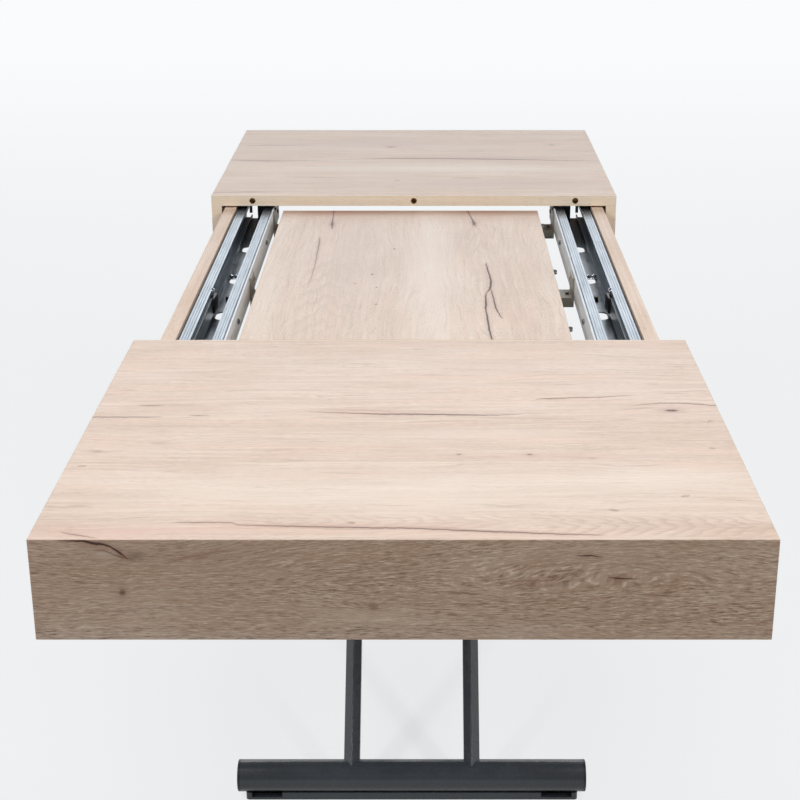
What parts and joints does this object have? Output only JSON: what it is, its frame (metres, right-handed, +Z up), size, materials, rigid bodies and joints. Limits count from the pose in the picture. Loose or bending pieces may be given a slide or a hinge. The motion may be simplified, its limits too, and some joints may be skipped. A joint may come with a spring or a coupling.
{
  "type": "convertible coffee dining table",
  "caption": "Extending table on a crossed scissor lift: two oak boxed half tops slide apart on side tracks over stored leaves, and the top lowers from dining to coffee height.",
  "frame": {"origin": "on the floor, at the middle of the table's length and width", "axes": "+Y along the table's length towards the rear half, +X across its width, +Z up"},
  "size_m": [0.72, 2.005, 0.76],
  "materials": {
    "oak_decor": "matt textured pale oak decor board with dark knots and cracks",
    "oak_edge": "light oak edge band and apron board",
    "graphite_paint": "satin graphite powder coat",
    "track_aluminium": "ribbed natural anodised extrusion",
    "dark_runner": "dark anodised extrusion",
    "galvanised_sheet": "galvanised folded sheet",
    "pale_paint": "satin light grey paint",
    "taupe_paint": "satin grey-brown paint",
    "steel": "plated steel",
    "brass": "turned brass",
    "black_plastic": "moulded black plastic",
    "roller_plastic": "turned nylon",
    "felt": "pressed felt"
  },
  "bodies": {
    "front_foot": {"front_foot_glide": "graphite_paint", "front_foot_spindle": "steel", "front_foot_lugs": "black_plastic"},
    "front_scissor": {"front_foot_tube": "graphite_paint", "front_end_caps": "black_plastic", "front_arms": "graphite_paint", "hub_shaft": "steel", "slider_axle": "steel"},
    "rear_scissor": {"rear_foot_tube": "graphite_paint", "rear_end_caps": "black_plastic", "rear_arms": "graphite_paint", "spring_lever": "graphite_paint"},
    "rear_foot": {"rear_foot_glide": "graphite_paint", "rear_foot_spindle": "steel", "rear_foot_lugs": "black_plastic"},
    "slider_wheels": {"slider_rollers": "roller_plastic"},
    "top_frame": {"side_aprons": "oak_edge", "apron_spacers": "black_plastic", "slide_trays": "galvanised_sheet", "outer_tracks": "track_aluminium", "inner_tracks": "track_aluminium", "frame_sides": "pale_paint", "frame_screws": "steel", "tray_stops": "black_plastic", "tray_catches": "steel", "cross_bar_front": "taupe_paint", "cross_bar_middle": "taupe_paint", "cross_bar_rear": "taupe_paint", "lift_channels": "graphite_paint", "channel_end_stops": "black_plastic", "pivot_bushes": "steel", "pivot_shaft": "steel", "gas_spring_cylinders": "graphite_paint", "gas_spring_anchor": "graphite_paint"},
    "spring_rods": {"gas_spring_rods": "steel"},
    "front_half": {"front_top_panel": "oak_decor", "front_fascia": "oak_decor", "front_sides": "oak_decor", "front_edge_bands": "oak_edge", "front_edge_pegs": "steel", "front_runners": "dark_runner", "front_runner_end_blocks": "black_plastic", "front_runner_brackets": "steel", "front_bracket_screws": "steel"},
    "rear_half": {"rear_top_panel": "oak_decor", "rear_fascia": "oak_decor", "rear_sides": "oak_decor", "rear_edge_bands": "oak_edge", "rear_edge_sockets": "brass", "rear_runners": "dark_runner", "rear_runner_end_blocks": "black_plastic", "rear_runner_brackets": "dark_runner", "rear_bracket_screws": "steel"},
    "lower_leaf": {"leaf_lower_board": "oak_decor", "leaf_lower_pegs": "steel", "leaf_lower_sockets": "brass"},
    "upper_leaf": {"leaf_upper_board": "oak_decor", "leaf_upper_pegs": "steel", "leaf_upper_sockets": "brass", "leaf_upper_dots": "felt"}
  },
  "joints": [
    {"name": "lift", "type": "hinge", "parent": "front_foot", "child": "front_scissor", "pos_m": [0, -0.31, 0.032], "axis": [1, 0, 0], "range_deg": [-29, 0]},
    {"name": "scissor_hub", "type": "hinge", "parent": "front_scissor", "child": "rear_scissor", "pos_m": [0, 0, 0.348], "axis": [1, 0, 0], "range_deg": [0, 58]},
    {"name": "rear_foot_turn", "type": "hinge", "parent": "rear_scissor", "child": "rear_foot", "pos_m": [0, 0.31, 0.032], "axis": [1, 0, 0], "range_deg": [-29, 0]},
    {"name": "top_pivot", "type": "hinge", "parent": "rear_scissor", "child": "top_frame", "pos_m": [0, -0.31, 0.664], "axis": [1, 0, 0], "range_deg": [-29, 0]},
    {"name": "roller_spin", "type": "hinge", "parent": "front_scissor", "child": "slider_wheels", "pos_m": [0, 0.31, 0.664], "axis": [1, 0, 0], "continuous": true},
    {"name": "spring_stroke", "type": "slide", "parent": "top_frame", "child": "spring_rods", "axis": [0, 1, 0], "range_m": [0, 0.0402]},
    {"name": "front_slide", "type": "slide", "parent": "top_frame", "child": "front_half", "axis": [0, -1, 0], "range_m": [-0.4022, 0.0475]},
    {"name": "rear_slide", "type": "slide", "parent": "top_frame", "child": "rear_half", "axis": [0, 1, 0], "range_m": [-0.4022, 0.0475]},
    {"name": "lower_leaf_lift", "type": "slide", "parent": "top_frame", "child": "lower_leaf", "axis": [0, 0, 1], "range_m": [0, 0.25]},
    {"name": "upper_leaf_lift", "type": "slide", "parent": "lower_leaf", "child": "upper_leaf", "axis": [0, 0, 1], "range_m": [0, 0.25]}
  ],
  "couplings": [
    {"joint": "scissor_hub", "follows": "lift", "ratio": -2},
    {"joint": "rear_foot_turn", "follows": "lift", "ratio": 1},
    {"joint": "top_pivot", "follows": "lift", "ratio": 1},
    {"joint": "spring_stroke", "follows": "lift", "m_per_rad": -0.079148}
  ]
}
